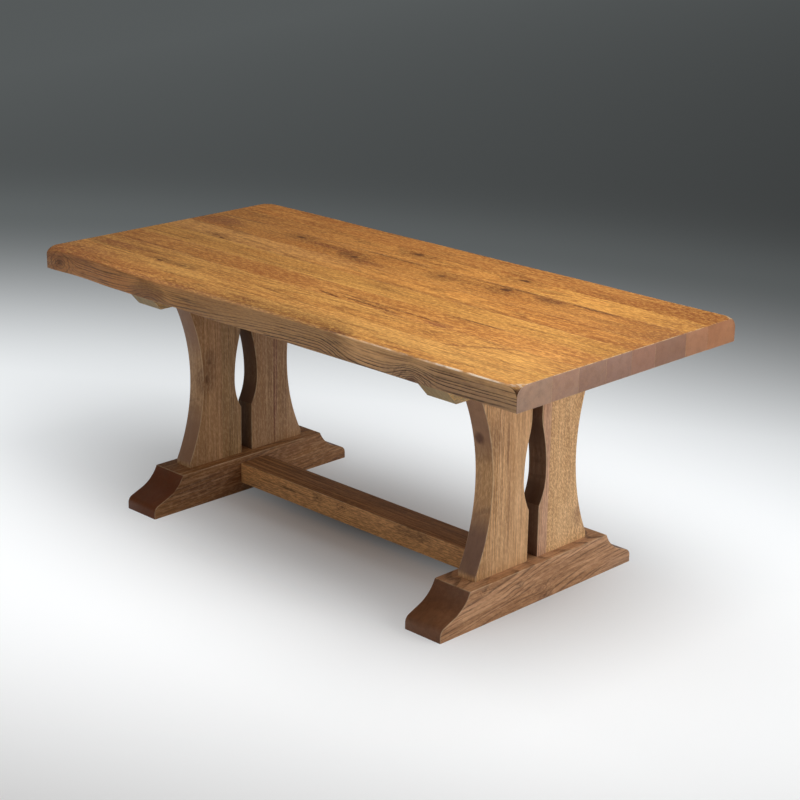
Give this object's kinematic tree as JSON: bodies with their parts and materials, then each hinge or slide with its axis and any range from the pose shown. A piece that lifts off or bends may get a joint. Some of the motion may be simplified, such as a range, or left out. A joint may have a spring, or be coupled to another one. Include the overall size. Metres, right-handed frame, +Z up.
{
  "type": "trestle dining table",
  "caption": "Long oak dining table: a thick plank top with hand-shaped edges on two trestles of waisted leg pairs, ogee feet and a low stretcher.",
  "frame": {"origin": "on the floor, under the middle of the top", "axes": "+X along the table's length to its right end as seen from the front, -Y towards the front long edge, +Z up"},
  "size_m": [1.812, 0.876, 0.76],
  "materials": {
    "oak_top": "waxed satin",
    "oak_trestle": "waxed satin",
    "oak_bearer": "bare, unstained",
    "zinc_steel": "zinc plated"
  },
  "bodies": {
    "root": {"front_edge_plank": "oak_top", "top_plank_2": "oak_top", "top_plank_3": "oak_top", "top_plank_4": "oak_top", "top_plank_5": "oak_top", "top_plank_6": "oak_top", "top_plank_7": "oak_top", "back_edge_plank": "oak_top", "left_front_leg_outer_board": "oak_trestle", "left_front_leg_inner_board": "oak_trestle", "left_back_leg_outer_board": "oak_trestle", "left_back_leg_inner_board": "oak_trestle", "right_front_leg_outer_board": "oak_trestle", "right_front_leg_inner_board": "oak_trestle", "right_back_leg_outer_board": "oak_trestle", "right_back_leg_inner_board": "oak_trestle", "left_foot": "oak_trestle", "right_foot": "oak_trestle", "stretcher": "oak_trestle", "left_bearer": "oak_bearer", "right_bearer": "oak_bearer", "top_fixing_screws": "zinc_steel", "top_fixing_washers": "zinc_steel"}
  },
  "joints": []
}
